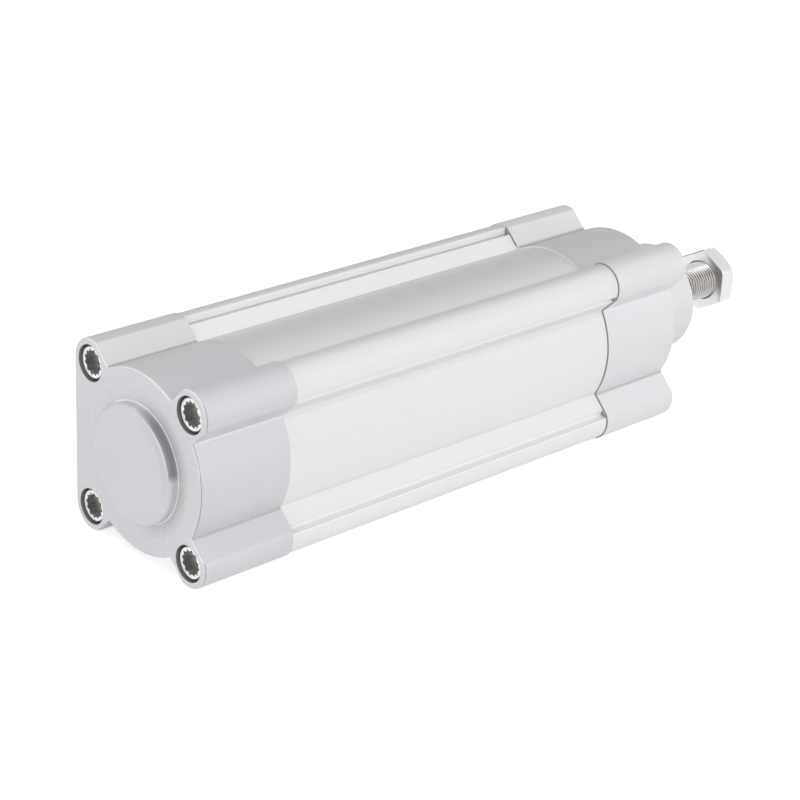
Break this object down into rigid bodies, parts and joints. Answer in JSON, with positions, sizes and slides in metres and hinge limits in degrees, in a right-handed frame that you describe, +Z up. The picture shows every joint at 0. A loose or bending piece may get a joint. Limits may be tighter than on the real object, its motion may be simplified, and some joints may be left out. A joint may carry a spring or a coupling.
{
  "type": "pneumatic cylinder",
  "caption": "Double-acting pneumatic cylinder with a profiled barrel, screwed end caps, a centring spigot and collar, and a threaded piston rod with a hexagon nut.",
  "frame": {"origin": "middle of the rear mounting face, on the cylinder axis", "axes": "+X along the axis towards the threaded rod end, +Z up, +Y towards the ports"},
  "size_m": [0.319, 0.075, 0.075],
  "materials": {
    "anodised_aluminium": "clear satin anodised extrusion",
    "cap_aluminium": "fine matt blasted and anodised casting",
    "zinc_plated_steel": "bright zinc plate",
    "nut_steel": "zinc plate with turned faces",
    "rod_steel": "ground and hard chromed rod with a rolled thread",
    "seal_rubber": "matt black rubber",
    "guide_plastic": "filled low-friction plastic",
    "magnet_plastic": "dark bonded magnet",
    "piston_aluminium": "turned",
    "sleeve_aluminium": "turned and polished",
    "bearing_bronze": "sintered bronze",
    "needle_brass": "turned"
  },
  "bodies": {
    "housing": {"barrel": "anodised_aluminium", "rear_cap": "cap_aluminium", "front_cap": "cap_aluminium", "rear_centring_plug": "cap_aluminium", "rod_gland": "cap_aluminium", "rear_cap_screws": "zinc_plated_steel", "front_cap_screws": "zinc_plated_steel", "rear_barrel_o_ring": "seal_rubber", "front_barrel_o_ring": "seal_rubber", "rear_plug_o_ring": "seal_rubber", "rod_gland_o_ring": "seal_rubber", "rear_cushion_seal": "seal_rubber", "front_cushion_seal": "seal_rubber", "rear_end_buffer": "seal_rubber", "front_end_buffer": "seal_rubber", "rod_bearing_bush": "bearing_bronze", "rod_seal": "seal_rubber", "rod_wiper": "seal_rubber"},
    "piston_rings": {"piston_guide_ring": "guide_plastic", "rear_piston_seal": "seal_rubber", "front_piston_seal": "seal_rubber"},
    "rod": {"piston_rod": "rod_steel", "rear_piston_half": "piston_aluminium", "front_piston_half": "piston_aluminium", "piston_magnet": "magnet_plastic", "rod_o_ring": "seal_rubber", "rear_cushion_sleeve": "sleeve_aluminium", "front_cushion_sleeve": "sleeve_aluminium", "piston_nut": "zinc_plated_steel"},
    "rod_nut": {"rod_nut": "nut_steel"},
    "rear_cushion_screw": {"rear_cushion_screw": "needle_brass", "rear_cushion_screw_o_ring": "seal_rubber"},
    "front_cushion_screw": {"front_cushion_screw": "needle_brass", "front_cushion_screw_o_ring": "seal_rubber"}
  },
  "joints": [
    {"name": "piston_stroke", "type": "slide", "parent": "housing", "child": "piston_rings", "axis": [1, 0, 0], "range_m": [0, 0.125]},
    {"name": "rod_turn", "type": "hinge", "parent": "piston_rings", "child": "rod", "pos_m": [0.0605, 0, 0], "axis": [1, 0, 0], "continuous": true},
    {"name": "rod_nut_travel", "type": "slide", "parent": "rod", "child": "rod_nut", "axis": [1, 0, 0], "range_m": [-0.0201, 0.0036]},
    {"name": "rear_cushion_turn", "type": "hinge", "parent": "housing", "child": "rear_cushion_screw", "pos_m": [0.032, 0.0295, 0.009], "axis": [0, 1, 0], "range_deg": [-540, 540]},
    {"name": "front_cushion_turn", "type": "hinge", "parent": "housing", "child": "front_cushion_screw", "pos_m": [0.214, 0.0295, 0.009], "axis": [0, 1, 0], "range_deg": [-540, 540]}
  ]
}
